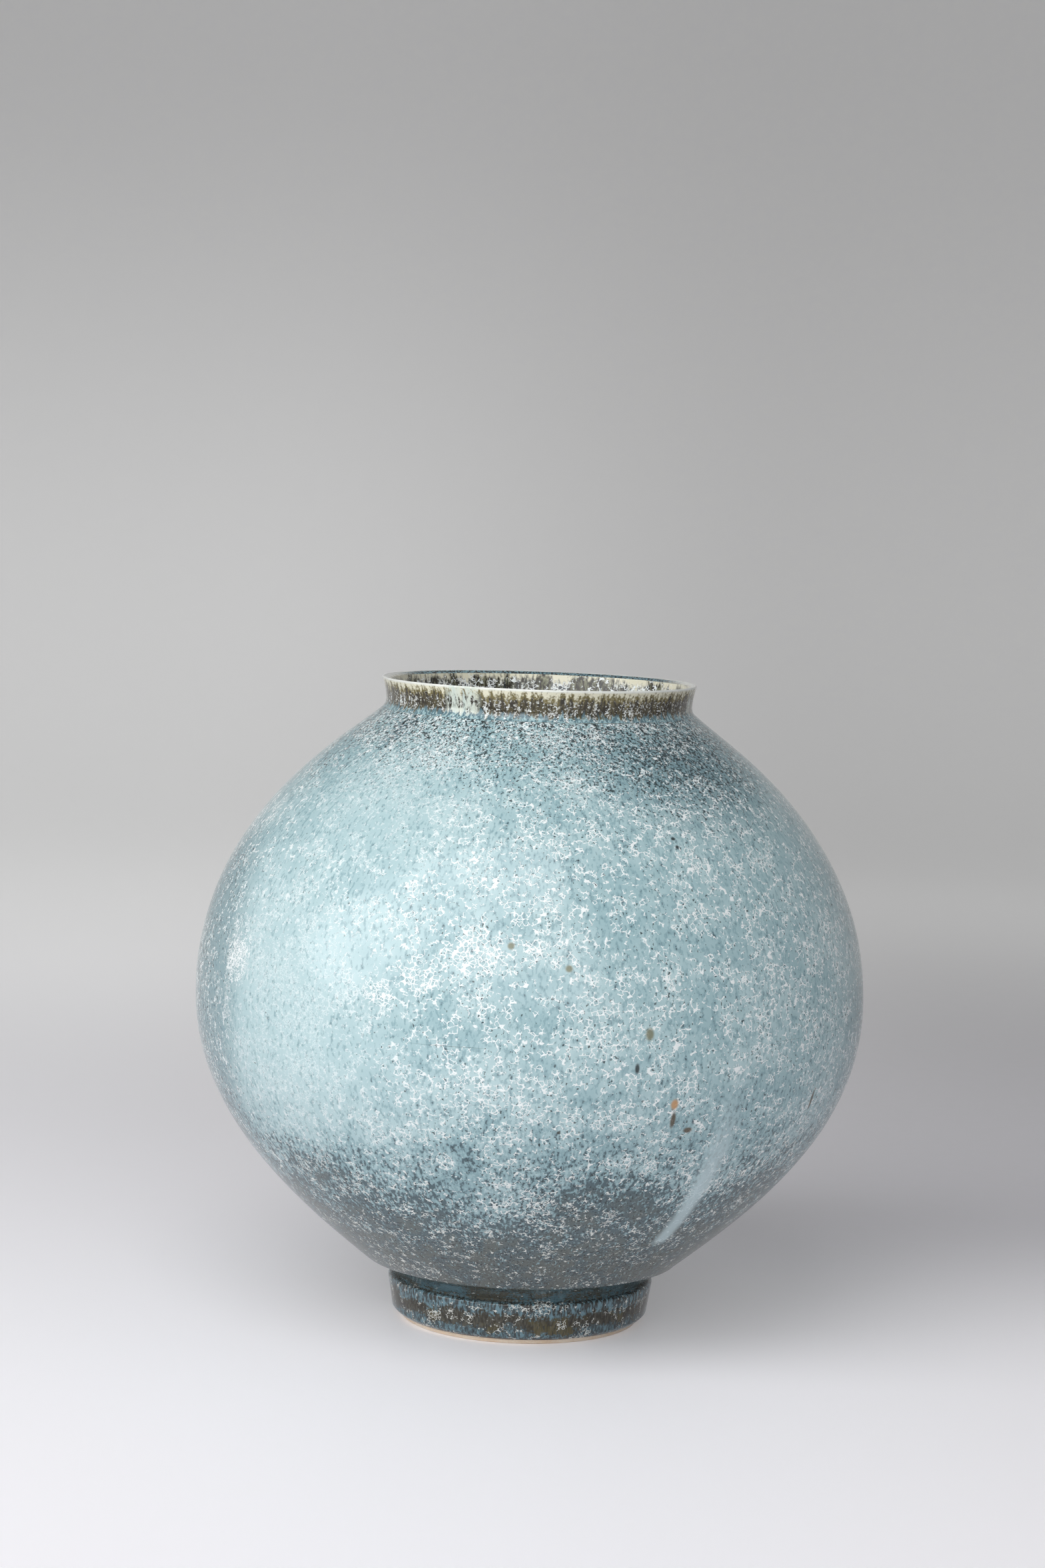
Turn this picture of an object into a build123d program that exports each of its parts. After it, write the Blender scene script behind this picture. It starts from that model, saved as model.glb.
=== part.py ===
from build123d import *
import os
from math import cos, radians, sin

# A moon jar, upright on the floor plane with its axis on +Z. Sizes are in millimetres and degrees.
# The potter throws two bowls, lutes them rim to rim at the belly, lutes a collar on the opening and a
# foot ring under the base, and then glazes the jar inside and out.

# Body, measured over the outer glaze
BELLY_DIAMETER = 421.0
BELLY_HEIGHT = 206.5
SHOULDER_RISE = 182.2
FLANK_DIAMETER = 200.0
FLANK_HEIGHT = 40.4
FLANK_ANGLE = 51.2
SHOULDER_ANGLE = 48.0
# How far the body's curves run straight on from their ends before they bend
FLANK_REACH = 72.8
LOWER_BELLY_REACH = 71.0
UPPER_BELLY_REACH = 110.0
SHOULDER_REACH = 33.2

# Neck and lip, measured over the outer glaze
LIP_DIAMETER = 197.2
NECK_HEIGHT = 17.4
LIP_FLARE = 2.6
LIP_WIDTH = 5.4
LIP_FALL = 2.2
LIP_ROUND = 1.2

# Foot, measured over the outer glaze, which stops a little above the floor
FOOT_CREASE_DIAMETER = 161.0
FOOT_DIAMETER = 169.0
FOOT_HEIGHT = 27.7
FOOT_ROUND = 3.5
COVE_DEPTH = 1.2
FOOT_LOW_DIAMETER = 162.4
FOOT_LOW_HEIGHT = 7.0
GLAZE_EDGE_DIAMETER = 156.4
GLAZE_EDGE_HEIGHT = 4.0
TREAD_DIAMETER = 150.0
TREAD_WIDTH = 10.5
RECESS_DEPTH = 24.0

# Clay walls, slip seams and glaze coats
BELLY_WALL = 7.0
FLANK_WALL = 8.0
NECK_WALL = 5.5
BASE_THICKNESS = 12.0
FLOOR_ROUND = 26.0
SLIP_THICKNESS = 1.5
BELLY_KEY_DEPTH = 2.5
NECK_KEY_DEPTH = 1.5
OUTER_GLAZE = 1.0
INNER_GLAZE = 0.8

belly_radius = BELLY_DIAMETER / 2
lip_radius = LIP_DIAMETER / 2
neck_radius = lip_radius - LIP_FLARE
tread_radius = TREAD_DIAMETER / 2
recess_radius = tread_radius - TREAD_WIDTH
neck_height = BELLY_HEIGHT + SHOULDER_RISE
lip_height = neck_height + NECK_HEIGHT
floor_height = RECESS_DEPTH + BASE_THICKNESS

# Directions along the flank and the shoulder, away from the foot and the neck
flank_along = Vector(sin(radians(FLANK_ANGLE)), cos(radians(FLANK_ANGLE)))
shoulder_along = Vector(sin(radians(SHOULDER_ANGLE)), -cos(radians(SHOULDER_ANGLE)))


def across(along):
    """Direction to the left of another one."""
    return Vector(-along.Y, along.X)


def glaze_edge(depth):
    """Lower end of the outer glaze, at a depth under its surface."""
    return Vector(GLAZE_EDGE_DIAMETER / 2 - depth, GLAZE_EDGE_HEIGHT)


def foot_crease(depth):
    """Crease between the foot's flat top and the cove over it, at a depth under the outer surface."""
    return Vector(FOOT_CREASE_DIAMETER / 2 - 2 * depth, FOOT_HEIGHT - depth)


def flank_edge(depth):
    """Edge where the trimmed cove ends and the flank begins, at a depth under the outer surface."""
    return Vector(FLANK_DIAMETER / 2, FLANK_HEIGHT) + across(flank_along) * depth


def neck_crease(depth):
    """Crease between the shoulder and the neck, at a depth under the outer surface."""
    fall = depth * (1 + shoulder_along.Y) / shoulder_along.X
    return Vector(neck_radius - depth, neck_height - fall)


def foot_line(depth):
    """Outside of the foot from the glaze's edge up its tapered wall and over its rounded top."""
    edge = glaze_edge(depth)
    low = Vector(FOOT_LOW_DIAMETER / 2 - depth, FOOT_LOW_HEIGHT)
    corner = Vector(FOOT_DIAMETER / 2 - depth, FOOT_HEIGHT - depth)
    taper = (corner - low) / (corner.Y - low.Y)
    wall_top = corner - taper * FOOT_ROUND
    return [
        Bezier(edge, low - taper * ((low.Y - edge.Y) / 2), low),
        Line(low, wall_top),
        Bezier(wall_top, corner, foot_crease(depth)),
    ]


def cove_line(depth):
    """Shallow trimmed hollow between the foot and the flank."""
    start = foot_crease(depth)
    end = flank_edge(depth)
    pull = across((end - start).normalized()) * 2 * COVE_DEPTH
    return Bezier(start, (start + end) / 2 + pull, end)


def lower_body_line(depth):
    """Outside of the lower bowl from the flank's edge up to the belly."""
    edge = flank_edge(depth)
    belly = Vector(belly_radius - depth, BELLY_HEIGHT)
    below = belly - Vector(0, LOWER_BELLY_REACH)
    return Bezier(edge, edge + flank_along * FLANK_REACH, below, belly)


def upper_body_line(depth, neck_depth):
    """Side of the upper bowl from the belly up to the neck, outside or inside."""
    belly = Vector(belly_radius - depth, BELLY_HEIGHT)
    crease = neck_crease(neck_depth)
    above = belly + Vector(0, UPPER_BELLY_REACH)
    return Bezier(belly, above, crease + shoulder_along * SHOULDER_REACH, crease)


def lip_inner_edge():
    """Inner edge of the sloping lip, over the glaze."""
    return Vector(lip_radius - LIP_WIDTH, lip_height - LIP_FALL)


def lip_inner_clay():
    """Inner edge of the sloping lip, in the clay, where the two coats of glaze meet."""
    return lip_inner_edge() + Vector(INNER_GLAZE, -OUTER_GLAZE)


def neck_line(depth, lip_end):
    """Outside of the flaring neck and its rounded lip, and the lip's slope down to its inner edge."""
    crease = neck_crease(depth)
    corner = Vector(lip_radius - depth, lip_height - depth)
    under = corner - Vector(0, LIP_ROUND)
    over = corner + (lip_end - corner).normalized() * LIP_ROUND
    return [
        Bezier(crease, (crease.X, (crease.Y + under.Y) / 2), under),
        Bezier(under, corner, over),
        Line(over, lip_end),
    ]


def outer_line(depth, lip_end):
    """Whole outside of the jar from the glaze's edge on the foot to the lip's inner edge."""
    return [
        *foot_line(depth),
        cove_line(depth),
        lower_body_line(depth),
        upper_body_line(depth, depth),
        *neck_line(depth, lip_end),
    ]


def inner_line(coat, lip_end):
    """Whole inside of the jar from the lip's inner edge to the middle of its floor."""
    depth = OUTER_GLAZE + BELLY_WALL + coat
    neck_depth = OUTER_GLAZE + NECK_WALL + coat
    belly = Vector(belly_radius - depth, BELLY_HEIGHT)
    below = belly - Vector(0, LOWER_BELLY_REACH)
    middle = Vector(0, floor_height + coat)
    flank = flank_edge(OUTER_GLAZE + FLANK_WALL + coat)
    corner = flank + flank_along * ((middle.Y - flank.Y) / flank_along.Y)
    round_top = corner + flank_along * FLOOR_ROUND
    round_end = corner - Vector(FLOOR_ROUND, 0)
    return [
        Line(lip_end, neck_crease(neck_depth)),
        upper_body_line(depth, neck_depth),
        Bezier(belly, below, flank + flank_along * FLANK_REACH, round_top),
        Bezier(round_top, corner, round_end),
        Line(round_end, middle),
    ]


def clay_profile():
    """Half section of all the clay and slip, from the axis to the outside under the glaze."""
    bottom = [
        Line((0, floor_height), (0, RECESS_DEPTH)),
        Line((0, RECESS_DEPTH), (recess_radius, RECESS_DEPTH)),
        Line((recess_radius, RECESS_DEPTH), (recess_radius, 0)),
        Line((recess_radius, 0), (tread_radius, 0)),
        Line((tread_radius, 0), glaze_edge(OUTER_GLAZE)),
    ]
    lip = lip_inner_clay()
    return make_face([*bottom, *outer_line(OUTER_GLAZE, lip), *inner_line(0, lip)])


def outer_glaze_profile():
    """Half section of the coat on the outside, from the foot over the lip."""
    surface_end = lip_inner_edge()
    clay_end = lip_inner_clay()
    ends = [
        Line(surface_end, clay_end),
        Line(glaze_edge(OUTER_GLAZE), glaze_edge(0)),
    ]
    return make_face([*outer_line(0, surface_end), *outer_line(OUTER_GLAZE, clay_end), *ends])


def inner_glaze_profile():
    """Half section of the coat on the inside, from the lip to the floor."""
    surface_end = lip_inner_edge()
    clay_end = lip_inner_clay()
    ends = [
        Line(surface_end, clay_end),
        Line((0, floor_height), (0, floor_height + INNER_GLAZE)),
    ]
    return make_face([*inner_line(INNER_GLAZE, surface_end), *inner_line(0, clay_end), *ends])


def keyed_band(inner, outer, height, key_depth):
    """Layer of slip between two keyed rims: a groove in the lower one takes a ridge on the upper."""
    middle = (inner + outer) / 2
    margin = outer - inner
    top = [
        (inner - margin, height),
        (inner, height),
        (middle, height - key_depth),
        (outer, height),
        (outer + margin, height),
    ]
    bottom = [(x, y - SLIP_THICKNESS) for x, y in reversed(top)]
    return make_face(Polyline(*top, *bottom, close=True))


def foot_band():
    """Layer of slip between the foot ring's flat top and the base."""
    bottom = RECESS_DEPTH - SLIP_THICKNESS
    corners = [(0, RECESS_DEPTH), (belly_radius, RECESS_DEPTH), (belly_radius, bottom), (0, bottom)]
    return make_face(Polyline(*corners, close=True))


def belly_band():
    """Layer of slip between the two bowls, at the widest part of the body."""
    outer = belly_radius - OUTER_GLAZE
    return keyed_band(outer - BELLY_WALL, outer, BELLY_HEIGHT + SLIP_THICKNESS / 2, BELLY_KEY_DEPTH)


def neck_band():
    """Layer of slip between the upper bowl's opening and the collar."""
    crease = neck_crease(OUTER_GLAZE)
    return keyed_band(crease.X - NECK_WALL, crease.X, crease.Y, NECK_KEY_DEPTH)


def turned(profile):
    """Solid made by turning a half section once round the jar's axis."""
    return revolve(Plane.XZ * profile, axis=Axis.Z, revolution_arc=360)


def jar_pieces():
    """Every piece of the jar by name, each a solid of its own."""
    clay = clay_profile()
    bands = {
        "foot_seam_slip": foot_band(),
        "belly_seam_slip": belly_band(),
        "neck_seam_slip": neck_band(),
    }
    pieces = {name: clay & band for name, band in bands.items()}
    for band in bands.values():
        clay = clay - band
    thrown = ["foot_ring", "lower_bowl", "upper_bowl", "mouth_collar"]
    pieces.update(zip(thrown, clay.faces().sort_by(Axis.Y)))
    pieces["outer_glaze"] = outer_glaze_profile()
    pieces["inner_glaze"] = inner_glaze_profile()
    return {name: turned(profile) for name, profile in pieces.items()}


os.makedirs("parts", exist_ok=True)
for piece_name, solid in jar_pieces().items():
    export_step(solid, f"parts/{piece_name}.step")
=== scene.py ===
from functools import reduce
from math import atan2, cos, pi, radians, sin

import bmesh
import bpy
from mathutils import Matrix, Vector, noise
from mathutils.geometry import interpolate_bezier


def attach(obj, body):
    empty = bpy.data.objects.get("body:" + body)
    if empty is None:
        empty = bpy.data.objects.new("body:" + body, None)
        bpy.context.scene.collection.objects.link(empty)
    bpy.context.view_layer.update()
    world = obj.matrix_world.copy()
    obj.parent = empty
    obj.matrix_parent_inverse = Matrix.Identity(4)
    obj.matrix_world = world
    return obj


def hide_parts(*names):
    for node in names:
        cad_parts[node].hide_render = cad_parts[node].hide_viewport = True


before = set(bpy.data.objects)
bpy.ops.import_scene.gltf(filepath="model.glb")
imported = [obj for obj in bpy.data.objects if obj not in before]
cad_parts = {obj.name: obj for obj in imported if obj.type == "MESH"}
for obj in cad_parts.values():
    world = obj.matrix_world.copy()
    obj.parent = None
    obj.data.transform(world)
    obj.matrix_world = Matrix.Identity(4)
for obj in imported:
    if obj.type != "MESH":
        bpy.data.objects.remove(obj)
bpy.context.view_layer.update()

MM = 0.001

# Half section of the jar over its glaze: (out from the axis, up from the floor) in millimetres
GLAZE_EDGE = (77.9, 3.3)
FOOT_LOW = (81.2, 7.0)
FOOT_LOW_PULL = (80.96, 5.5)
FOOT_WALL_TOP = (83.94, 24.2)
FOOT_CORNER = (84.5, 27.7)
FOOT_CREASE = (80.5, 27.7)
COVE_PULL = (88.94, 36.06)
FLANK_EDGE = (100.0, 40.4)
FLANK_PULL = (156.74, 86.02)
LOWER_BELLY_PULL = (210.5, 135.5)
BELLY = (210.5, 206.5)
UPPER_BELLY_PULL = (210.5, 316.5)
SHOULDER_PULL = (120.67, 366.49)
SHOULDER_END = (98.6, 386.35)
NECK_CREASE = (96.0, 388.7)
NECK_START = (96.1, 392.2)
NECK_PULL = (96.3, 398.4)
LIP_UNDER = (98.6, 404.9)
LIP_CORNER = (98.6, 406.1)
LIP_OVER = (97.49, 405.65)
LIP_INNER = (93.2, 403.9)

# Inside of the jar over its glaze
INNER_CREASE = (88.7, 385.45)
INNER_SHOULDER_PULL = (113.37, 363.24)
INNER_UPPER_PULL = (201.7, 316.5)
INNER_BELLY = (201.7, 206.5)
INNER_LOWER_PULL = (201.7, 135.5)
INNER_FLANK_PULL = (150.6, 93.66)
FLOOR_ROUND_TOP = (100.14, 53.09)
FLOOR_CORNER = (79.88, 36.8)
FLOOR_ROUND_END = (53.88, 36.8)
FLOOR_MIDDLE = (0.0, 36.8)

# Bare clay of the foot ring, under the glaze and below its edge
RING_TOP = 22.5
RING_OUTSIDE = [(82.66, RING_TOP), (80.2, 7.0), (77.2, 4.0)]
TREAD_OUTER = (75.0, 0.0)
TREAD_INNER = (64.5, 0.0)
TREAD_ROUND = 1.1

# Thickness of the glaze outside and inside, in millimetres
OUTER_COAT = 1.0
INNER_COAT = 0.8

# Unevenness of the thrown wall: waves in a metre and their height in millimetres
WALL_WAVES = [(11, 0.35), (34, 0.12)]

# Pattern of the glaze, in metres: its angles are taken from the middle of the body
MIDDLE_HEIGHT = 0.2
GIRTH_RADIUS = 0.2

# Crystals: wall of a cell as a share of the cell, height on the thick glaze in metres
CRYSTAL_WALL = 0.11
CRYSTAL_RELIEF = 0.00012

# Meshes: steps round the axis, gap in metres under which points merge, least angle of a sharp edge
TURN_STEPS = 360
SWEEP_STEPS = 96
MERGE_DISTANCE = 1e-6
SHARP_ANGLE = radians(50)

# Studio sweep, (out from the jar, up from the floor) in metres: end of the flat floor, two pulls, top
SWEEP_BEND = [(2.6, 0.0), (3.5, 0.0), (3.8, 0.5), (3.8, 2.0)]

# Lamps: direction from the jar, direction of the upper edge, distance, width and height in metres, watts
LAMPS = {
    "softbox": ((-0.594, -0.625, 0.690), (-0.346, 0.555, 0.756), 1.7, 3.0, 0.9, 24.2),
    "strip_light": ((-0.427, -0.837, 0.342), (-0.377, 0.192, 0.906), 1.7, 1.2, 0.34, 2.6),
    "front_fill": ((-0.05, -0.93, 0.36), (0.0, 0.0, 1.0), 2.9, 2.4, 1.6, 23.0),
}
ROOM_LIGHT = 0.22

# Photograph's camera
FRAME_WIDTH = 1568
FRAME_HEIGHT = 2352
FOCAL_PIXELS = 5021.8
SENSOR_LONG_SIDE = 36.0
CAMERA_PLACE = Vector((-0.0088, -2.1, 0.5322))
CAMERA_PITCH = radians(5.234)
CAMERA_ROLL = radians(1.9)


def srgb(red, green, blue):
    """Linear colour of a screen colour with parts from 0 to 255."""
    def linear(part):
        share = part / 255
        return share / 12.92 if share <= 0.04045 else ((share + 0.055) / 1.055) ** 2.4

    return (linear(red), linear(green), linear(blue), 1.0)


PALE_CELADON = srgb(184, 209, 212)
CELADON = srgb(160, 190, 195)
CLEAR_BLUE = srgb(124, 157, 166)
STEEL_BLUE = srgb(112, 144, 155)
BLUE_GREY = srgb(92, 119, 128)
DEEP_BLUE = srgb(56, 76, 85)
SLATE = srgb(66, 76, 80)
NIGHT = srgb(34, 40, 42)
DRIP_WHITE = srgb(194, 215, 219)
CRYSTAL_WHITE = srgb(238, 244, 244)
CREAM_WHITE = srgb(230, 232, 226)
THIN_BROWN = srgb(86, 84, 74)
DARK_BROWN = srgb(50, 46, 36)
IRON_ORANGE = srgb(190, 144, 94)
IRON_BROWN = srgb(84, 70, 50)
OLIVE = srgb(122, 124, 100)
CREAM = srgb(228, 225, 202)
OCHRE = srgb(114, 104, 62)
NECK_BROWN = srgb(86, 80, 58)
CLAY = srgb(250, 238, 220)
CLAY_DARK = srgb(240, 218, 192)
SLIP = srgb(236, 220, 200)
PAPER = srgb(239, 237, 242)
FAR_PAPER = srgb(241, 241, 239)
PAPER_GRAIN = srgb(236, 236, 238)
# Paper under the lamps, darker: painted shade
PAINTED_SHADE_PAPER = srgb(176, 176, 180)
ROOM_WHITE = srgb(250, 250, 252)
WHITE = srgb(255, 255, 255)
BLACK = srgb(0, 0, 0)

# Zones of the body's glaze, some of them painted light and shade: degrees right of the front, degrees up,
# width and length in metres, share of the zone that fades out, strength
# Smoother glaze with fewer specks and crystals on the left and upper left, made paler there: painted
# light of the softbox
PAINTED_LIGHT_AND_SMOOTH_ZONES = [
    (-44, 3, 0.27, 0.30, 0.9, 1.0),
    (-36, 38, 0.22, 0.15, 0.9, 0.8),
]
THIN_ZONES = [
    (13, -29, 0.11, 0.08, 0.9, 0.85),
    (-42, -24, 0.12, 0.07, 0.9, 1.0),
    (54, -24, 0.10, 0.10, 0.9, 1.0),
]
THICK_ZONES = [
    (-10, -27, 0.08, 0.10, 0.9, 1.0),
]
# Darker blue grey glaze: painted shade on the right shoulder, at the left edge beyond the softbox's
# reflection and at the right edge; the small last zone is darker streaks of glaze on the left shoulder
PAINTED_SHADE_AND_STREAK_ZONES = [
    (44, 50, 0.20, 0.13, 0.9, 1.0),
    (-78, 3, 0.18, 0.24, 0.4, 1.0),
    (88, 2, 0.20, 0.34, 0.9, 1.0),
    (-50, 58, 0.022, 0.05, 0.9, 1.0),
]
# Crowded white crystals: the three zones nearest the front lie on the strip light's glare and stand in
# part for it, a painted highlight
GLARE_AND_CRYSTAL_ZONES = [
    (-18.5, 12.2, 0.045, 0.03, 0.8, 1.0),
    (-9, 16.7, 0.05, 0.032, 0.8, 1.0),
    (-58, 11, 0.04, 0.05, 0.8, 1.0),
    (-25, 9, 0.03, 0.02, 0.8, 1.0),
]

# Run of thick glaze at the front right: its place in degrees and its widths in metres
DRIP_TURN = 35.7
DRIP_TOP = 0
DRIP_END = -43
DRIP_FADE = 26
DRIP_END_FADE = 3
DRIP_WIDTH = 0.028
DRIP_END_WIDTH = 0.016
# Its raised body: height of the middle, half width and half length in metres, thickness in millimetres
DRIP_BODY_HEIGHT = 0.125
DRIP_BODY_REACH = (0.008, 0.055)
DRIP_THICKNESS = 0.7

# Iron spots on the front: degrees right of the front, degrees up, width and length in millimetres, colour
IRON_SPOTS = [
    (24.4, -7.2, 6.6, 8.4, IRON_ORANGE),
    (24.6, -10.0, 4.6, 14.0, IRON_BROWN),
    (27.8, -12.0, 8.0, 5.0, IRON_BROWN),
    (17.3, -1.0, 3.8, 8.0, NIGHT),
    (5.3, -11.9, 3.0, 3.0, DARK_BROWN),
    (28.6, 36.4, 4.0, 3.2, NIGHT),
    (28.9, 34.8, 3.2, 3.6, NIGHT),
    (-3.5, 17.9, 5.5, 5.5, OLIVE),
    (6.0, 14.6, 6.0, 5.5, OLIVE),
    (19.2, 4.4, 7.0, 9.5, OLIVE),
    (57.0, -9.6, 3.4, 18.0, IRON_BROWN),
]


class Value:
    """A number, colour or place that changes over a surface: one socket, used in plain arithmetic."""

    def __init__(self, finish, socket):
        self.finish = finish
        self.socket = socket

    def __add__(self, other):
        return self.finish.math("ADD", self, other)

    def __radd__(self, other):
        return self.finish.math("ADD", other, self)

    def __sub__(self, other):
        return self.finish.math("SUBTRACT", self, other)

    def __rsub__(self, other):
        return self.finish.math("SUBTRACT", other, self)

    def __mul__(self, other):
        return self.finish.math("MULTIPLY", self, other)

    def __truediv__(self, other):
        return self.finish.math("DIVIDE", self, other)

    def __pow__(self, other):
        return self.finish.math("POWER", self, other)


class Finish:
    """A material in the making, with the places and patterns that the jar's finishes share."""

    def __init__(self, name):
        self.material = bpy.data.materials.new(name)
        self.material.use_nodes = True
        self.tree = self.material.node_tree
        self.tree.nodes.clear()
        self.place = self.node("ShaderNodeTexCoord", output="Object")
        split = {"Vector": self.place}
        x = self.across = self.node("ShaderNodeSeparateXYZ", inputs=split, output="X")
        y = self.ahead = self.node("ShaderNodeSeparateXYZ", inputs=split, output="Y")
        self.up = self.node("ShaderNodeSeparateXYZ", inputs=split, output="Z")
        self.out = (x * x + y * y) ** 0.5
        self.turn = self.math("ARCTAN2", x, y * -1)
        self.rise = self.math("ARCTAN2", self.up - MIDDLE_HEIGHT, self.out)
        self.flow = self.node("ShaderNodeCombineXYZ", inputs={
            "X": x / self.out * GIRTH_RADIUS,
            "Y": y / self.out * GIRTH_RADIUS,
            "Z": self.rise * GIRTH_RADIUS,
        })

    def node(self, kind, settings=None, inputs=None, output=0):
        """Output of a new node, made after its settings and the values or links of its sockets."""
        node = self.tree.nodes.new(kind)
        for name, setting in (settings or {}).items():
            setattr(node, name, setting)
        for name, value in (inputs or {}).items():
            if isinstance(value, Value):
                self.tree.links.new(value.socket, node.inputs[name])
            else:
                node.inputs[name].default_value = value
        return Value(self, node.outputs[output])

    def math(self, operation, first, second):
        return self.node("ShaderNodeMath", {"operation": operation}, {0: first, 1: second})

    def larger(self, first, second):
        return self.math("MAXIMUM", first, second)

    def step(self, value, low, high):
        """0 below low and 1 above high, with a soft change between, or the other way if low is higher."""
        return self.node(
            "ShaderNodeMapRange",
            {"interpolation_type": "SMOOTHSTEP"},
            {"Value": value, "From Min": low, "From Max": high},
        )

    def noise(self, place, scale, detail=2.0, output="Fac"):
        return self.node(
            "ShaderNodeTexNoise",
            inputs={"Vector": place, "Scale": scale, "Detail": detail},
            output=output,
        )

    def cells(self, place, scale, feature):
        """Distance from the middle or the wall of the nearest of many small cells."""
        return self.node(
            "ShaderNodeTexVoronoi",
            {"feature": feature},
            {"Vector": place, "Scale": scale},
            "Distance",
        )

    def blend(self, amount, first, second):
        """Colour that goes from the first to the second as the amount goes from 0 to 1."""
        return self.node("ShaderNodeMix", {"data_type": "RGBA"}, {0: amount, 6: first, 7: second}, 2)

    def stretched(self, place, along):
        """The pattern's place, with its height squeezed so that the pattern runs down the jar."""
        return self.node(
            "ShaderNodeVectorMath",
            {"operation": "MULTIPLY"},
            {0: place, 1: (1.0, 1.0, along)},
        )

    def shaken(self, place, scale, reach):
        """The place moved a little at random, so that a pattern's lines bend."""
        shake = self.noise(place, scale, 1.0, "Color")
        centred = self.node(
            "ShaderNodeVectorMath", {"operation": "SUBTRACT"}, {0: shake, 1: (0.5, 0.5, 0.5)}
        )
        return self.node(
            "ShaderNodeVectorMath",
            {"operation": "MULTIPLY_ADD"},
            {0: centred, 1: (reach, reach, reach), 2: place},
        )

    def patch(self, turn, rise, width, length, soft):
        """1 inside an oval on the jar and 0 outside it. Its place is in degrees, its sizes in metres."""
        across = (self.turn - radians(turn)) * self.out / (width / 2)
        along = (self.rise - radians(rise)) * GIRTH_RADIUS / (length / 2)
        return self.step((across * across + along * along) ** 0.5, 1.0, 1.0 - soft)

    def zones(self, table):
        """Largest of a table's ovals, each at its own strength."""
        return reduce(self.larger, [self.patch(*oval) * strength for *oval, strength in table])

    def strip(self, turn, width):
        """1 along an upright strip and 0 beside it. Its turn is in degrees, its width in metres."""
        across = self.math("ABSOLUTE", (self.turn - radians(turn)) * self.out / (width / 2), 0)
        return self.step(across, 1.0, 0.5)

    def drip(self):
        """1 along the run of thick glaze and 0 beside it, faint at its top and narrower at its end."""
        down = self.step(self.rise, radians(DRIP_TOP), radians(DRIP_END))
        half_width = DRIP_WIDTH / 2 + down * ((DRIP_END_WIDTH - DRIP_WIDTH) / 2)
        across = (self.turn - radians(DRIP_TURN)) * self.out / half_width
        faded = self.step(self.rise, radians(DRIP_TOP), radians(DRIP_TOP - DRIP_FADE))
        ended = self.step(self.rise, radians(DRIP_END), radians(DRIP_END + DRIP_END_FADE))
        return self.step(self.math("ABSOLUTE", across, 0), 1.0, 0.2) * (faded * ended)

    def lace(self, place, size, amount):
        """White crystals round small cells: thin broken walls that thicken to blobs where they meet."""
        bent = self.shaken(place, 0.8 / size, size * 0.8)
        far = self.cells(bent, 1 / size, "F1")
        near_wall = self.cells(bent, 1 / size, "DISTANCE_TO_EDGE")
        breaks = self.noise(place, 0.65 / size, 2.0)
        blobs = self.step(far + amount * 0.4 + (breaks - 0.5) * 0.5, 0.92, 0.97)
        walls = self.step(near_wall, CRYSTAL_WALL, CRYSTAL_WALL * 0.45)
        walls = walls * self.step(breaks + amount * 0.5, 0.62, 0.70)
        return self.larger(blobs, walls)

    def flecks(self, place, scale, share):
        """Small uneven flecks, more of them as the share goes from 0 to 1."""
        return self.step(self.noise(place, scale, 1.0) + share * 0.25, 0.76, 0.82)

    def strokes(self, along, scale, detail):
        """Short wavy strokes that run down the jar."""
        wavy = self.shaken(self.place, 300, 0.0015)
        return self.noise(self.stretched(wavy, along), scale, detail)

    def surface(self, color, roughness, height=None, relief=None, **constants):
        """Ends the material with its shader, whose other sockets take the constants."""
        inputs = {"Base Color": color, "Roughness": roughness}
        inputs.update({name.replace("_", " "): value for name, value in constants.items()})
        if height is not None:
            inputs["Normal"] = self.node(
                "ShaderNodeBump", inputs={"Height": height, "Distance": relief}
            )
        shader = self.node("ShaderNodeBsdfPrincipled", inputs=inputs)
        end = self.tree.nodes.new("ShaderNodeOutputMaterial")
        self.tree.links.new(shader.socket, end.inputs["Surface"])
        return self.material

    def glazed(self, color, crystals):
        """Ends a glaze: a glossy ground with raised crystals that are rougher."""
        return self.surface(color, 0.12 + crystals * 0.2, crystals, CRYSTAL_RELIEF)


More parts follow.
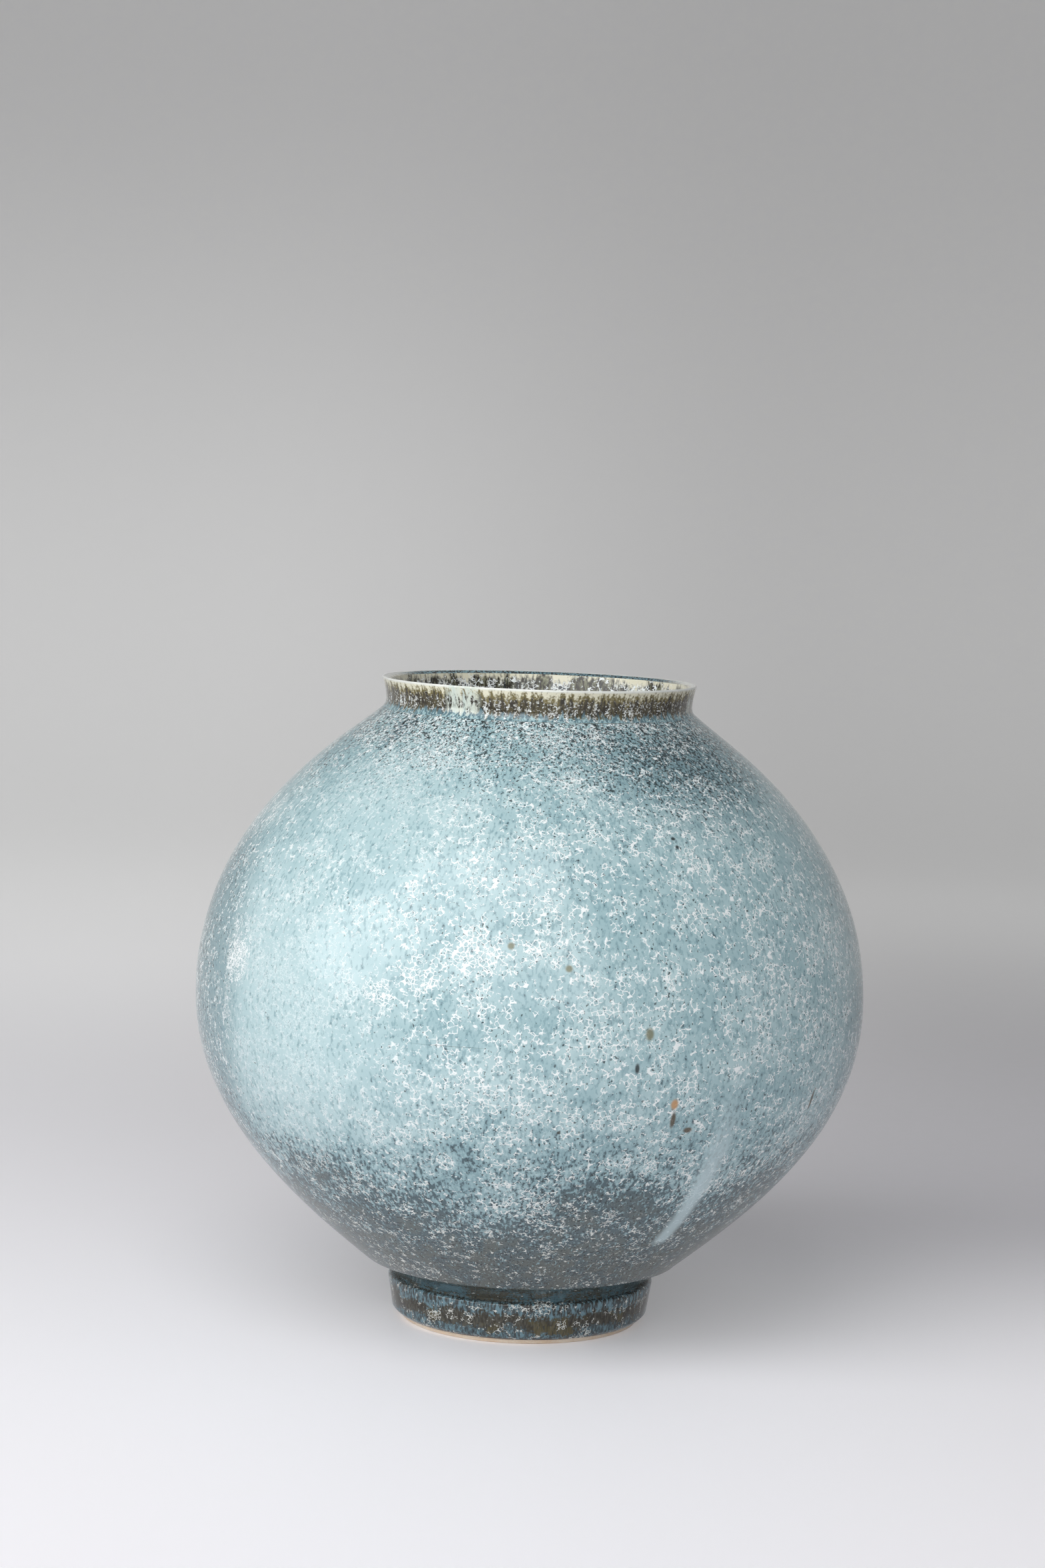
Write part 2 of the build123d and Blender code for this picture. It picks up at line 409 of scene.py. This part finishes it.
def body_glaze():
    """Pale celadon under a lace of white crystals, thinner, darker and speckled towards the foot."""
    g = Finish("celadon_glaze")
    drift = g.noise(g.place, 20, 3)
    patches = g.noise(g.place, 70, 3)
    grain = g.noise(g.stretched(g.flow, 0.6), 480, 3)
    # Painted light: paler, smoother glaze where the softbox lights the left and upper left
    painted_light_and_smooth = g.zones(PAINTED_LIGHT_AND_SMOOTH_ZONES)
    coat = g.zones(THICK_ZONES) - g.zones(THIN_ZONES)
    fall = g.rise + (drift - 0.5) * 0.4 + (patches - 0.5) * 0.5 + coat * 0.16 + painted_light_and_smooth * 0.1
    thin = g.step(fall, radians(-1), radians(-48))
    bare = g.step(fall, radians(-28), radians(-50))
    collar = g.step(g.up, 0.320, 0.384)
    lowest = g.step(g.rise, radians(-40), radians(-50))
    # Painted shade on the right shoulder and at both edges, and darker streaks of glaze on the left
    # shoulder
    painted_shade_and_streaks = g.zones(PAINTED_SHADE_AND_STREAK_ZONES)

    base = g.blend(g.step(drift * 0.5 + patches * 0.5, 0.38, 0.62), CELADON, PALE_CELADON)
    base = g.blend(painted_light_and_smooth * 0.8, base, PALE_CELADON)
    base = g.blend(painted_shade_and_streaks * 0.5, base, BLUE_GREY)
    earth = g.blend(g.step(patches, 0.42, 0.58), THIN_BROWN, DEEP_BLUE)
    dark = g.blend(lowest * 0.35, g.blend(bare, DEEP_BLUE, earth), DARK_BROWN)
    speckled = grain + thin * 0.34 + (collar + painted_shade_and_streaks) * 0.06 - painted_light_and_smooth * 0.06
    color = g.blend(g.step(speckled, 0.49, 0.60) * 0.6, base, CLEAR_BLUE)
    color = g.blend(g.step(speckled, 0.63, 0.76) * 0.85, color, dark)
    share = 0.36 + thin * 0.42 + collar * 0.6 + painted_shade_and_streaks * 0.3 - painted_light_and_smooth * 0.4 + (patches - 0.5)
    night = g.flecks(g.stretched(g.place, 0.7), 700, share)
    color = g.blend(night * 0.85, color, NIGHT)
    iron = g.flecks(g.stretched(g.place, 0.8), 420, g.step(g.up, 0.358, 0.388) * 0.8)
    color = g.blend(iron * 0.9, color, NIGHT)

    # Denser white crystals, in part a painted highlight along the strip light's glare
    glare_and_crowded = g.zones(GLARE_AND_CRYSTAL_ZONES)
    clusters = g.noise(g.place, 55, 4)
    amount = 0.24 + (drift - 0.5) * 0.4 + (patches - 0.5) * 0.7 - painted_light_and_smooth * 0.08 + glare_and_crowded * 0.35
    lace = g.lace(g.place, 0.0028, amount - thin * 0.14 - collar * 0.2 - painted_light_and_smooth * 0.10 - lowest * 0.05)
    spread = thin * 0.16 + collar * 0.44 + painted_light_and_smooth * 0.56 - lowest * 0.14
    spread = spread + (clusters - 0.5) * (0.8 + thin * 1.4 - painted_light_and_smooth * 0.5)
    curls = g.lace(g.place, 0.0018, amount - 0.40 + spread)
    white = g.larger(lace, curls * 0.85) * (1 - painted_light_and_smooth * 0.5 * (1 - glare_and_crowded))
    color = g.blend(white, color, g.blend(thin, CRYSTAL_WHITE, CREAM_WHITE))

    drip = g.drip()
    color = g.blend(drip * 0.9, color, DRIP_WHITE)
    for turn, rise, width, length, tone in IRON_SPOTS:
        spot = g.patch(turn, rise, width * MM, length * MM, 0.6)
        color = g.blend(spot * 0.92, color, tone)
    gloss = 0.14 + white * 0.18 + thin * 0.05
    return g.surface(color, gloss, white * (1 - drip) + grain * 0.1, 0.00010)


def neck_glaze():
    """Cream glaze at the lip that breaks into brown runs and a dark speckled band above the shoulder."""
    g = Finish("neck_glaze")
    strokes = g.strokes(0.30, 620, 3)
    mottle = g.noise(g.place, 780, 2)
    runs = g.noise(g.stretched(g.flow, 0.25), 150, 3)
    height = (g.up - NECK_CREASE[1] * MM) / ((LIP_CORNER[1] - NECK_CREASE[1]) * MM)
    uneven = height + (strokes - 0.5) * 0.7 + (runs - 0.5) * 0.8
    dark = g.blend(g.step(strokes, 0.40, 0.62), DARK_BROWN, NECK_BROWN)
    dark = g.blend(g.step(mottle + (runs - 0.5) * 0.5, 0.55, 0.64) * 0.6, dark, CREAM_WHITE)
    color = g.blend(g.step(uneven, 0.53, 0.67), dark, OCHRE)
    color = g.blend(g.step(uneven + (mottle - 0.5) * 0.6, 0.66, 0.92), color, CREAM)
    color = g.blend(g.step(height, 0.86, 0.95), color, CREAM_WHITE)
    pale = g.larger(g.strip(-29, 0.028), g.strip(74, 0.010) * 0.7)
    color = g.blend(pale * g.step(strokes, 0.38, 0.54) * 0.9, color, g.blend(runs, PALE_CELADON, CREAM))
    shoulder = g.blend(g.step(strokes, 0.46, 0.54), BLUE_GREY, CELADON)
    color = g.blend(g.step(uneven, 0.12, -0.04), color, shoulder)
    lace = g.lace(g.place, 0.0018, (runs - 0.5) * 1.6)
    color = g.blend(lace * g.step(height, 0.7, 0.4), color, CRYSTAL_WHITE)
    inner_lip = g.step(g.out, 0.0972, 0.0966) * g.step(g.up, 0.4030, 0.4034)
    # Painted shade: the back half of the inner lip is made a dark mottle of near black and blue
    painted_shade_far_lip = inner_lip * g.step(g.ahead, 0.02, 0.06)
    color = g.blend(painted_shade_far_lip, color, g.blend(g.step(mottle, 0.44, 0.56), NIGHT, CLEAR_BLUE))
    return g.glazed(color, lace)


def foot_glaze():
    """Bands round the foot: a dark cove, steel blue, brown, blue and a thin dark edge over the clay."""
    g = Finish("foot_glaze")
    runs = g.strokes(0.30, 640, 2)
    mottle = g.noise(g.place, 640, 2)
    patches = g.noise(g.place, 70, 3)
    height = g.up + (runs - 0.5) * 0.010 + (mottle - 0.5) * 0.012 + (patches - 0.5) * 0.020
    blue = g.blend(g.step(runs, 0.38, 0.64), SLATE, STEEL_BLUE)
    brown = g.blend(g.step(runs, 0.38, 0.66), DARK_BROWN, THIN_BROWN)
    brown = g.blend(g.step(patches, 0.54, 0.64) * 0.4, brown, OCHRE)
    color = g.blend(g.step(g.up + (runs - 0.5) * 0.003, 0.0038, 0.0048), DARK_BROWN, blue)
    color = g.blend(g.step(height, 0.0090, 0.0115), color, brown)
    color = g.blend(g.step(height, 0.0185, 0.0215), color, blue)
    ticks = g.step(runs, 0.56, 0.48) * g.step(height, 0.0205, 0.0265)
    color = g.blend(ticks * 0.85, color, DARK_BROWN)
    cove = g.blend(g.step(mottle + (patches - 0.5), 0.40, 0.62), THIN_BROWN, BLUE_GREY)
    color = g.blend(g.step(g.up + (runs - 0.5) * 0.004, 0.0270, 0.0284), color, cove)
    color = g.blend(g.flecks(g.stretched(g.flow, 0.7), 620, 0.6) * 0.8, color, NIGHT)
    clusters = g.noise(g.place, 90, 3)
    lace = g.lace(g.place, 0.0019, (clusters - 0.5) * 2.6 + 0.05 - g.step(g.up, 0.026, 0.030) * 0.3)
    color = g.blend(lace * 0.9, color, CREAM_WHITE)
    return g.glazed(color, lace)


def inside_glaze():
    """Cream glaze inside the mouth that soon turns to olive and grey, with specks and crystals."""
    g = Finish("inside_glaze")
    strokes = g.strokes(0.35, 560, 3)
    mottle = g.noise(g.place, 640, 2)
    zones = g.noise(g.stretched(g.flow, 0.3), 32, 2)
    depth = g.step(g.up + (strokes - 0.5) * 0.012 + (zones - 0.5) * 0.02, 0.4040, 0.3985)
    olive = g.blend(g.step(strokes, 0.42, 0.60), DARK_BROWN, OLIVE)
    grey = g.blend(g.step(mottle, 0.44, 0.58), SLATE, CREAM_WHITE)
    color = g.blend(depth, CREAM, g.blend(g.step(zones + (strokes - 0.5) * 0.4, 0.44, 0.56), olive, grey))
    color = g.blend(g.flecks(g.stretched(g.flow, 0.7), 520, 0.2 + depth * 0.5), color, NIGHT)
    lace = g.lace(g.place, 0.0026, depth * 0.3 + (zones - 0.5) * 1.2)
    color = g.blend(lace, color, CRYSTAL_WHITE)
    return g.glazed(color, lace)


def bare_clay(name, pale, dark):
    """Fired clay with fine grit and faint turning lines."""
    g = Finish(name)
    grit = g.noise(g.place, 900, 3)
    drift = g.noise(g.place, 40, 2)
    turning = g.noise(g.stretched(g.flow, 6.0), 120, 2)
    color = g.blend(g.step(drift + (grit - 0.5) * 0.6, 0.3, 0.75), dark, pale)
    return g.surface(color, 0.75 + (grit - 0.5) * 0.2, grit * 0.5 + turning * 0.5, 0.0003)


def on_section(*places):
    """Points of the half section, in metres."""
    return [Vector((out, 0.0, up)) * MM for out, up in places]


def bent_line(start, first_pull, second_pull, end, count):
    """Points along a curve that leaves its start and reaches its end towards the two pulls."""
    handles = on_section(start, first_pull, second_pull, end)
    return [point.copy() for point in interpolate_bezier(*handles, count)]


def bow(start, pull, end, count):
    """Points along a curve with one pull."""
    def towards(place):
        return tuple(side + (middle - side) * 2 / 3 for side, middle in zip(place, pull))

    return bent_line(start, towards(start), towards(end), end, count)


def joined(*lines):
    """One line from several that follow each other, without the points they share."""
    points = list(lines[0])
    for line in lines[1:]:
        points += line[1:]
    return points


def coat_back(line, depth):
    """Back of a coat of glaze: each third point of the line, at a depth to its left, from its end on."""
    back = []
    for index in range(len(line)):
        along = line[min(index + 1, len(line) - 1)] - line[max(index - 1, 0)]
        left = Vector((-along.z, 0.0, along.x)).normalized()
        back.append(line[index] + left * depth * MM)
    return back[::-3]


def spin_round(mesh, steps):
    """Turns a mesh's edges once round the axis into faces."""
    bmesh.ops.spin(
        mesh, geom=mesh.verts[:] + mesh.edges[:], cent=(0, 0, 0), axis=(0, 0, 1),
        angle=2 * pi, steps=steps, use_merge=True,
    )
    bmesh.ops.remove_doubles(mesh, verts=mesh.verts, dist=MERGE_DISTANCE)
    bmesh.ops.recalc_face_normals(mesh, faces=mesh.faces)


def new_object(name, mesh):
    """Smooth object made of a finished mesh."""
    data = bpy.data.meshes.new(name)
    mesh.to_mesh(data)
    mesh.free()
    data.shade_smooth()
    made = bpy.data.objects.new(name, data)
    bpy.context.scene.collection.objects.link(made)
    return made


def turned(name, line, back, relief=None):
    """Piece made by turning a closed half section once round the axis, with relief on its surface."""
    mesh = bmesh.new()
    shows = mesh.verts.layers.float.new("shows")
    corners = [mesh.verts.new(place) for place in [*line, *back]]
    for corner in corners[:len(line)]:
        corner[shows] = 1.0
    for first, second in zip(corners, corners[1:] + corners[:1]):
        mesh.edges.new((first, second))
    spin_round(mesh, TURN_STEPS)
    if relief:
        mesh.normal_update()
        moves = [(vert, vert.normal * relief(vert.co)) for vert in mesh.verts if vert[shows] > 0.5]
        for vert, move in moves:
            vert.co += move
    mesh.verts.layers.float.remove(shows)
    piece = new_object(name, mesh)
    piece.data.set_sharp_from_angle(angle=SHARP_ANGLE)
    return piece


def placed(piece, material, slot, *nodes):
    """Gives a piece its material and its part in the frame."""
    piece.data.materials.append(material)
    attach(piece, "root")
    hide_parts(*nodes)


def drip_share(place):
    """Share of the run's full thickness at a place on the body."""
    half_width, half_length = DRIP_BODY_REACH
    turn = atan2(place.x, -place.y) - radians(DRIP_TURN)
    across = turn * place.xy.length / half_width
    along = (place.z - DRIP_BODY_HEIGHT) / half_length
    return max(0.0, 1 - across * across) * max(0.0, 1 - along * along)


def hand_thrown(place):
    """Slow unevenness of the thrown wall and the raised run of glaze on it, in metres."""
    uneven = sum(noise.noise(place * waves) * height for waves, height in WALL_WAVES)
    return (uneven + drip_share(place) * DRIP_THICKNESS) * MM


def build_jar():
    """The jar's visible pieces, and better finishes on the clay and slip inside them."""
    lower = bent_line(FLANK_EDGE, FLANK_PULL, LOWER_BELLY_PULL, BELLY, 110)
    upper = bent_line(BELLY, UPPER_BELLY_PULL, SHOULDER_PULL, SHOULDER_END, 110)
    neck = joined(
        bow(SHOULDER_END, NECK_CREASE, NECK_START, 10),
        bow(NECK_START, NECK_PULL, LIP_UNDER, 14),
        bow(LIP_UNDER, LIP_CORNER, LIP_OVER, 6),
        on_section(LIP_OVER, LIP_INNER),
    )
    foot = joined(
        bow(GLAZE_EDGE, FOOT_LOW_PULL, FOOT_LOW, 8),
        on_section(FOOT_LOW, FOOT_WALL_TOP),
        bow(FOOT_WALL_TOP, FOOT_CORNER, FOOT_CREASE, 10),
        bow(FOOT_CREASE, COVE_PULL, FLANK_EDGE, 12),
    )
    inside = joined(
        on_section(LIP_INNER, INNER_CREASE),
        bent_line(INNER_CREASE, INNER_SHOULDER_PULL, INNER_UPPER_PULL, INNER_BELLY, 60),
        bent_line(INNER_BELLY, INNER_LOWER_PULL, INNER_FLANK_PULL, FLOOR_ROUND_TOP, 60),
        bow(FLOOR_ROUND_TOP, FLOOR_CORNER, FLOOR_ROUND_END, 14),
        on_section(FLOOR_ROUND_END, FLOOR_MIDDLE),
    )
    outer_round_top = (TREAD_OUTER[0] + TREAD_ROUND * 0.5, TREAD_ROUND)
    outer_round_end = (TREAD_OUTER[0] - TREAD_ROUND, 0.0)
    inner_round_end = (TREAD_INNER[0] + TREAD_ROUND, 0.0)
    inner_round_top = (TREAD_INNER[0], TREAD_ROUND)
    ring = joined(
        on_section(*RING_OUTSIDE, outer_round_top),
        bow(outer_round_top, TREAD_OUTER, outer_round_end, 5),
        on_section(outer_round_end, inner_round_end),
        bow(inner_round_end, TREAD_INNER, inner_round_top, 5),
        on_section(inner_round_top, (TREAD_INNER[0], RING_TOP)),
    )
    celadon = body_glaze()
    for name, line in (("lower_body_glaze", lower), ("upper_body_glaze", upper)):
        piece = turned(name, line, coat_back(line, OUTER_COAT), hand_thrown)
        placed(piece, celadon, "outer_glaze", "outer_glaze")
    neck_coat = turned("neck_glaze", neck, coat_back(neck, OUTER_COAT))
    placed(neck_coat, neck_glaze(), "outer_glaze", "outer_glaze")
    foot_coat = turned("foot_glaze", foot, coat_back(foot, OUTER_COAT))
    placed(foot_coat, foot_glaze(), "outer_glaze", "outer_glaze")
    inside_coat = turned("inside_glaze", inside, coat_back(inside, INNER_COAT))
    placed(inside_coat, inside_glaze(), "inner_glaze", "inner_glaze")
    clay = bare_clay("bare_clay", CLAY, CLAY_DARK)
    slip = bare_clay("joining_slip", SLIP, CLAY)
    placed(turned("clay_foot_ring", ring, []), clay, "clay", "foot_ring")
    for name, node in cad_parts.items():
        if name.endswith("_slip"):
            node.data.materials[0] = slip
        elif not name.endswith("_glaze"):
            node.data.materials[0] = clay


def sweep_finish():
    """Pale matt paper of the sweep. It shows a little brighter than it is lit, painted light that is
    strongest at the back left and weaker behind the jar on the right, a painted shadow; under the lamps
    it is painted darker, painted shade.
    """
    g = Finish("studio_sweep")
    grain = g.noise(g.place, 60, 2)
    paper = g.blend(g.step(g.ahead, 0.2, 2.4), PAPER, FAR_PAPER)
    color = g.blend(g.step(grain, 0.2, 0.8) * 0.3, paper, PAPER_GRAIN)
    # Painted shade: the paper in front and on the left, under the lamps, is made darker against the
    # bright pool of their light
    in_front = g.step(g.ahead, -0.6, -1.5) * g.step(g.across, 1.2, -0.2)
    on_left = g.step(g.across, -0.5, -1.1) * g.step(g.ahead, 1.0, -0.1) * g.step(g.up, 0.4, 0.0)
    painted_shade_under_lamps = g.larger(in_front, on_left)
    color = g.blend(painted_shade_under_lamps * 0.9, color, PAINTED_SHADE_PAPER)
    to_right = g.step(g.across, -0.5, 0.5)
    # Painted shadow: less glow on the floor behind the jar on the right
    painted_shadow_behind = g.step(g.ahead, -0.05, 0.35) * g.step(g.ahead, 2.4, 0.9) * to_right
    wall = g.step(g.ahead, 1.8, 3.0)
    far = g.step(g.ahead, 0.5, 1.6) * (1 - to_right)
    near = g.step(g.ahead, -0.1, -0.9) * (1 - to_right)
    # Painted light: a glow on the paper that the camera, reflections and light through glass see
    painted_light_lift = 0.17 + far * (0.14 - wall * 0.05) - painted_shadow_behind * 0.16 - near * 0.10 - wall * to_right * 0.05
    painted_light_lift = painted_light_lift * (1 - g.step(g.up, 0.1, 1.3) * 0.75) + g.step(g.across, -2.2, -3.2) * 0.2
    seen = g.node("ShaderNodeLightPath", output="Is Camera Ray")
    mirrored = g.node("ShaderNodeLightPath", output="Is Glossy Ray")
    passed = g.node("ShaderNodeLightPath", output="Is Transmission Ray")
    shown = g.larger(g.larger(seen, mirrored), passed)
    glow = g.blend(painted_light_lift * shown, BLACK, WHITE)
    return g.surface(color, 0.5, Emission_Color=glow, Emission_Strength=1.0)


def build_stage():
    """A round studio sweep: a flat floor that curves up into a low wall all round."""
    bend = [Vector((out, 0.0, up)) for out, up in SWEEP_BEND]
    line = [Vector((0.0, 0.0, 0.0)), *interpolate_bezier(*bend, 24)]
    mesh = bmesh.new()
    corners = [mesh.verts.new(place) for place in line]
    for first, second in zip(corners, corners[1:]):
        mesh.edges.new((first, second))
    spin_round(mesh, SWEEP_STEPS)
    bmesh.ops.reverse_faces(mesh, faces=[face for face in mesh.faces if face.normal.z < 0])
    sweep = new_object("studio_sweep", mesh)
    sweep.data.materials.append(sweep_finish())


def area_lamp(name, towards, edge_up, distance, width, height, power):
    """A soft rectangular lamp that shines on the jar from a direction, with its upper edge set square."""
    lamp = bpy.data.lights.new(name, "AREA")
    lamp.shape = "RECTANGLE"
    lamp.size = width
    lamp.size_y = height
    lamp.energy = power
    box = bpy.data.objects.new(name, lamp)
    bpy.context.scene.collection.objects.link(box)
    across = edge_up.cross(towards).normalized()
    upward = towards.cross(across)
    turned_box = Matrix((across, upward, towards)).transposed().to_4x4()
    turned_box.translation = Vector((0.0, 0.0, MIDDLE_HEIGHT)) + towards * distance
    box.matrix_world = turned_box
    box.visible_camera = False


def build_light():
    """A wide softbox on the left, a narrow strip and a weak fill in front and a dim room round them."""
    for name, (direction, edge_up, distance, width, height, power) in LAMPS.items():
        towards = Vector(direction).normalized()
        area_lamp(name, towards, Vector(edge_up), distance, width, height, power)
    world = bpy.data.worlds.new("studio_room")
    world.use_nodes = True
    room = world.node_tree.nodes["Background"]
    room.inputs["Color"].default_value = ROOM_WHITE
    room.inputs["Strength"].default_value = ROOM_LIGHT
    bpy.context.scene.world = world


def build_camera():
    """The photograph's camera: its place, tilt, roll and focal length."""
    data = bpy.data.cameras.new("photo_camera")
    data.sensor_fit = "AUTO"
    data.sensor_width = SENSOR_LONG_SIDE
    data.lens = FOCAL_PIXELS / max(FRAME_WIDTH, FRAME_HEIGHT) * SENSOR_LONG_SIDE
    camera = bpy.data.objects.new("photo_camera", data)
    bpy.context.scene.collection.objects.link(camera)
    ahead = Vector((0.0, cos(CAMERA_PITCH), -sin(CAMERA_PITCH)))
    level_up = Vector((0.0, sin(CAMERA_PITCH), cos(CAMERA_PITCH)))
    right = Vector((1.0, 0.0, 0.0)) * cos(CAMERA_ROLL) + level_up * sin(CAMERA_ROLL)
    upward = level_up * cos(CAMERA_ROLL) - Vector((1.0, 0.0, 0.0)) * sin(CAMERA_ROLL)
    view = Matrix((right, upward, -ahead)).transposed().to_4x4()
    view.translation = CAMERA_PLACE
    camera.matrix_world = view
    bpy.context.scene.camera = camera


build_jar()
build_stage()
build_light()
build_camera()
bpy.context.scene.view_settings.view_transform = "Standard"
